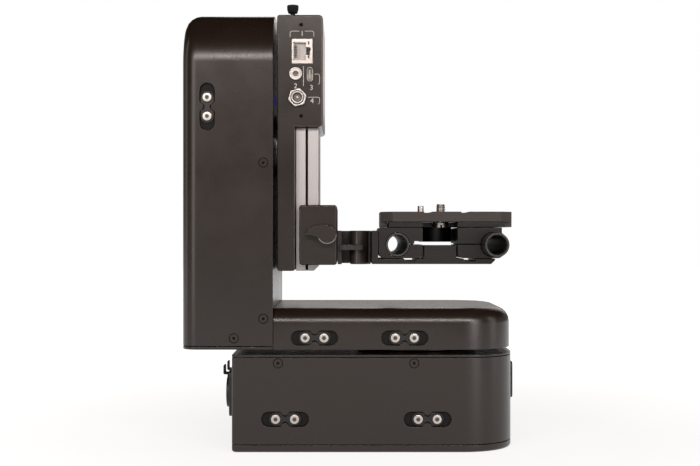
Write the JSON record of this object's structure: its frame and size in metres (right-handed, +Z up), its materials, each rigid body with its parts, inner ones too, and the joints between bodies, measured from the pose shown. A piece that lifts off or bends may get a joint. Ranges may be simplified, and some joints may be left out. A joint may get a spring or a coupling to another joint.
{
  "type": "remote pan tilt head",
  "caption": "Motorised L-shaped remote head that pans on a flat base and tilts a cradle with a height rail, rod clamps and a camera plate.",
  "frame": {"origin": "where the pan axis meets the underside of the base", "axes": "+Z up along the pan axis, +X away from the tower, towards the round end of the base, +Y away from the side with the sockets; the tilt axis is along X"},
  "size_m": [0.2171, 0.1725, 0.2936],
  "materials": {
    "painted_housing": "satin near-black coat",
    "black_anodised": "satin black anodised",
    "clear_anodised": "satin clear anodised",
    "bright_steel": "fine turned",
    "black_plastic": "moulded",
    "belt_rubber": "moulded",
    "circuit_board": "solder mask",
    "blue_window": "clear moulded"
  },
  "bodies": {
    "base": {"base_bottom_plate": "painted_housing", "base_housing": "painted_housing", "base_top_plate": "painted_housing", "base_end_cover": "painted_housing", "base_clamp_left": "black_anodised", "base_clamp_right": "black_anodised", "connector_panel": "black_anodised", "power_connector": "black_plastic", "data_connector": "black_plastic", "pan_bearing": "bright_steel", "pan_motor_mount": "black_anodised", "pan_motor": "bright_steel", "pan_belt": "belt_rubber", "slip_ring_bracket": "black_anodised", "slip_ring": "black_plastic", "control_board": "circuit_board"},
    "pan_drive": {"pan_motor_pulley": "bright_steel"},
    "power_release": {"power_latch": "black_plastic"},
    "data_release": {"data_latch": "black_plastic"},
    "arm": {"turntable": "black_anodised", "pan_pulley": "black_anodised", "arm_floor": "black_anodised", "foot_cover": "painted_housing", "tower_cover": "painted_housing", "tower_bottom_plate": "painted_housing", "tower_side_plate": "painted_housing", "status_window": "blue_window", "foot_clamp_left": "black_anodised", "foot_clamp_right": "black_anodised", "tower_clamp": "black_anodised", "tilt_bearing": "bright_steel", "tilt_motor_mount": "black_anodised", "tilt_motor": "bright_steel", "tilt_belt": "belt_rubber"},
    "tilt_drive": {"tilt_motor_pulley": "bright_steel"},
    "cradle": {"tilt_shaft": "bright_steel", "tilt_pulley": "black_anodised", "tilt_plate": "painted_housing", "box_cover": "painted_housing", "connector_board": "circuit_board", "network_socket": "bright_steel", "jack_socket": "bright_steel", "usb_socket": "bright_steel", "power_socket": "bright_steel", "power_socket_nut": "bright_steel", "plunger_body": "bright_steel", "height_rail": "clear_anodised"},
    "knob": {"pull_knob": "black_plastic"},
    "carriage": {"carriage_block": "black_anodised", "side_bracket": "black_anodised", "rod_base": "black_anodised", "left_rod_clamp": "black_anodised", "right_rod_clamp": "black_anodised", "bridge_plate": "black_anodised"},
    "lever": {"clamp_lever": "black_anodised"},
    "rod_left": {"left_rod": "black_anodised"},
    "rod_right": {"right_rod": "black_anodised"},
    "quick_plate": {"camera_plate": "black_anodised", "locating_pin": "bright_steel"},
    "plate_screw": {"camera_screw": "bright_steel"}
  },
  "joints": [
    {"name": "pan", "type": "hinge", "parent": "base", "child": "arm", "pos_m": [0, 0, 0], "axis": [0, 0, 1], "continuous": true},
    {"name": "pan_motor_spin", "type": "hinge", "parent": "base", "child": "pan_drive", "pos_m": [-0.0874, 0, 0.042], "axis": [0, 0, 1], "continuous": true},
    {"name": "power_release_slide", "type": "slide", "parent": "base", "child": "power_release", "axis": [0, 0, 1], "range_m": [0, 0.0015], "stiffness_N_per_m": 600},
    {"name": "data_release_slide", "type": "slide", "parent": "base", "child": "data_release", "axis": [0, 0, 1], "range_m": [0, 0.0015], "stiffness_N_per_m": 600},
    {"name": "tilt", "type": "hinge", "parent": "arm", "child": "cradle", "pos_m": [-0.0952, 0, 0.1988], "axis": [1, 0, 0], "range_deg": [-90, 20]},
    {"name": "tilt_motor_spin", "type": "hinge", "parent": "arm", "child": "tilt_drive", "pos_m": [-0.1115, 0, 0.2518], "axis": [1, 0, 0], "range_deg": [-262, 60]},
    {"name": "knob_pull", "type": "slide", "parent": "cradle", "child": "knob", "axis": [0, 0, 1], "range_m": [0, 0.004], "stiffness_N_per_m": 900},
    {"name": "height_slide", "type": "slide", "parent": "cradle", "child": "carriage", "axis": [0, 0, 1], "range_m": [0, 0.048]},
    {"name": "lever_turn", "type": "hinge", "parent": "carriage", "child": "lever", "pos_m": [-0.0604, -0.0583, 0.13985], "axis": [0, 1, 0], "range_deg": [0, 110]},
    {"name": "left_rod_slide", "type": "slide", "parent": "carriage", "child": "rod_left", "axis": [0, 1, 0], "range_m": [-0.022, 0]},
    {"name": "right_rod_slide", "type": "slide", "parent": "carriage", "child": "rod_right", "axis": [0, 1, 0], "range_m": [0, 0.02]},
    {"name": "plate_slide", "type": "slide", "parent": "carriage", "child": "quick_plate", "axis": [0, 1, 0], "range_m": [-0.02, 0.003]},
    {"name": "screw_turn", "type": "hinge", "parent": "quick_plate", "child": "plate_screw", "pos_m": [0.01265, -0.054, 0.15], "axis": [0, 0, 1], "continuous": true}
  ],
  "couplings": [
    {"joint": "pan_motor_spin", "follows": "pan", "ratio": 3.3333},
    {"joint": "tilt_motor_spin", "follows": "tilt", "ratio": 2.8889}
  ]
}
